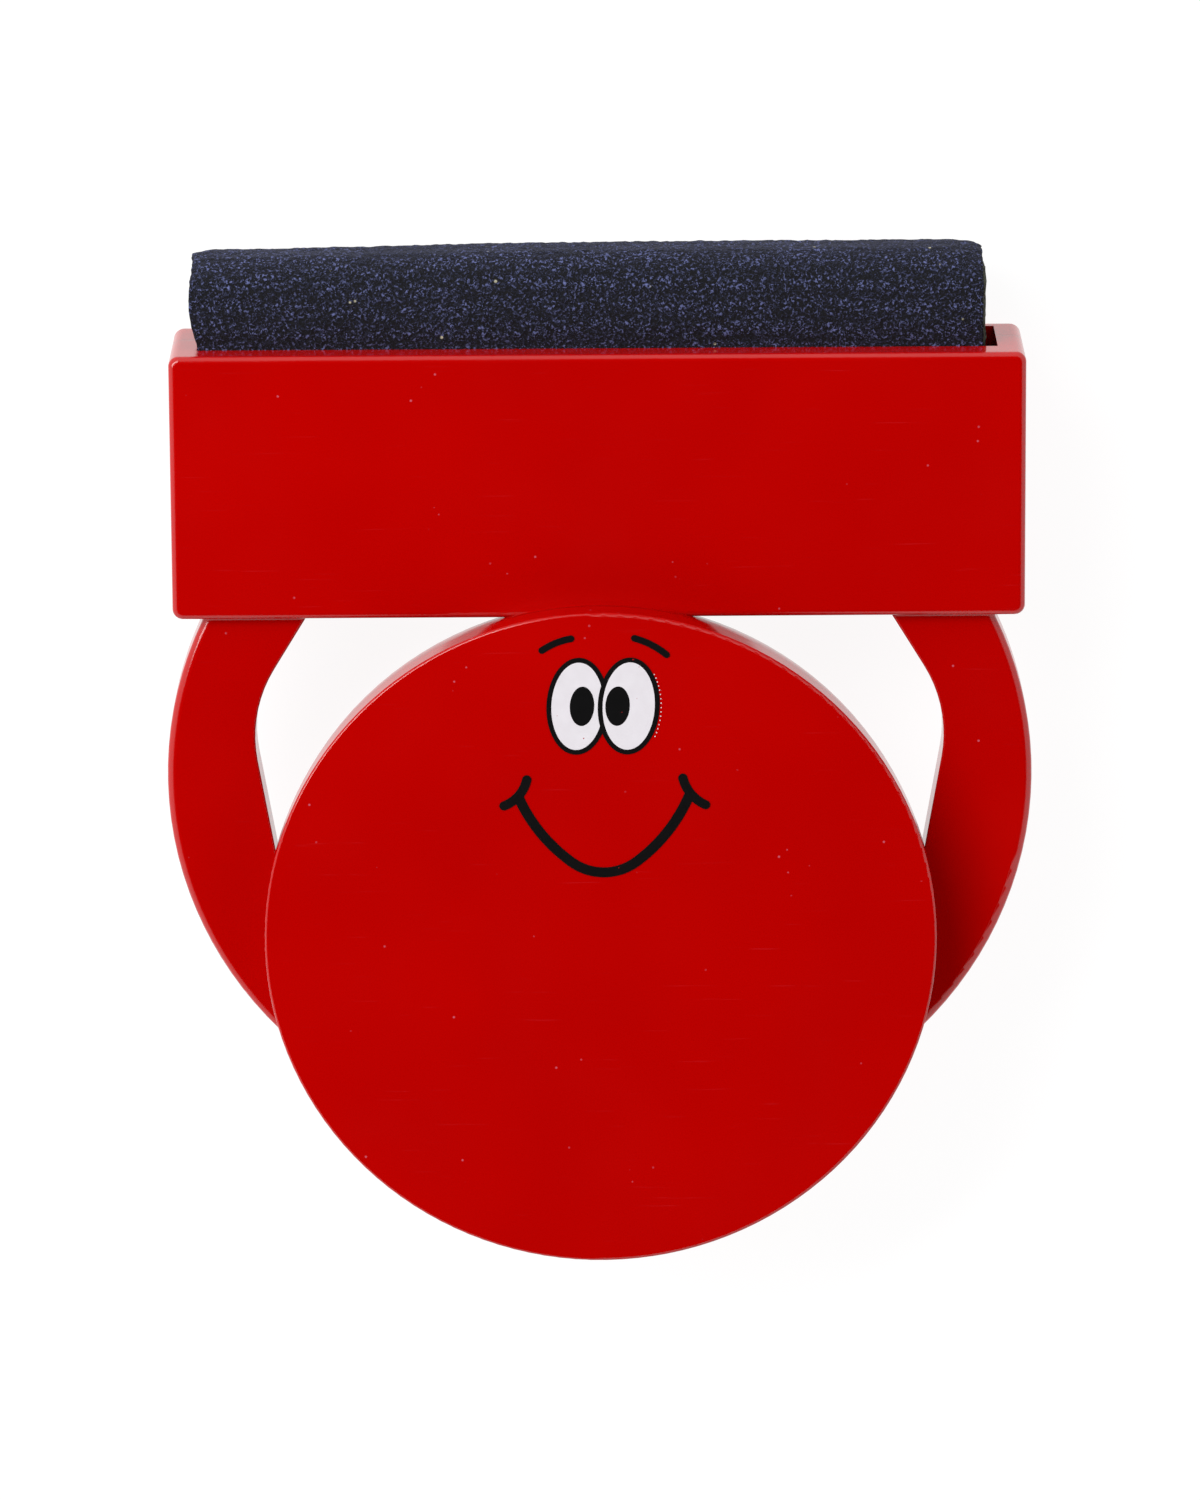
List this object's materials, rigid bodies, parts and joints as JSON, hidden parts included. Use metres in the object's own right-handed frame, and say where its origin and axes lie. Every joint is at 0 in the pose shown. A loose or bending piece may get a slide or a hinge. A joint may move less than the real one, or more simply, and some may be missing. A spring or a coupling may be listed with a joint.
{
  "type": "chalkboard eraser",
  "caption": "Hand eraser: a moulded trough holds a cloth-covered pad, and two curved arms join it to a round box with a printed cartoon face on its lid.",
  "frame": {"origin": "middle of the round box, on the flat back that the eraser lies on", "axes": "+X along the pad, +Y from the round box to the pad, +Z out of the printed face"},
  "size_m": [0.102, 0.1206, 0.0245],
  "materials": {
    "red_plastic": "glossy moulded red, lightly scuffed",
    "foam": "dark open-cell foam",
    "navy_cloth": "looped pile cloth, almost black navy",
    "strip_plastic": "plain dark strip",
    "white_ink": "pad-printed white ink",
    "black_ink": "pad-printed black ink"
  },
  "bodies": {
    "body": {"front_shell": "red_plastic", "back_shell": "red_plastic", "face_cap": "red_plastic", "eye_white_print": "white_ink", "face_line_print": "black_ink"},
    "pad": {"cloth_cover": "navy_cloth", "foam_core": "foam", "pad_base_strip": "strip_plastic"}
  },
  "joints": [
    {"name": "pad_slide", "type": "slide", "parent": "body", "child": "pad", "axis": [0, 1, 0], "range_m": [0, 0.025]}
  ]
}
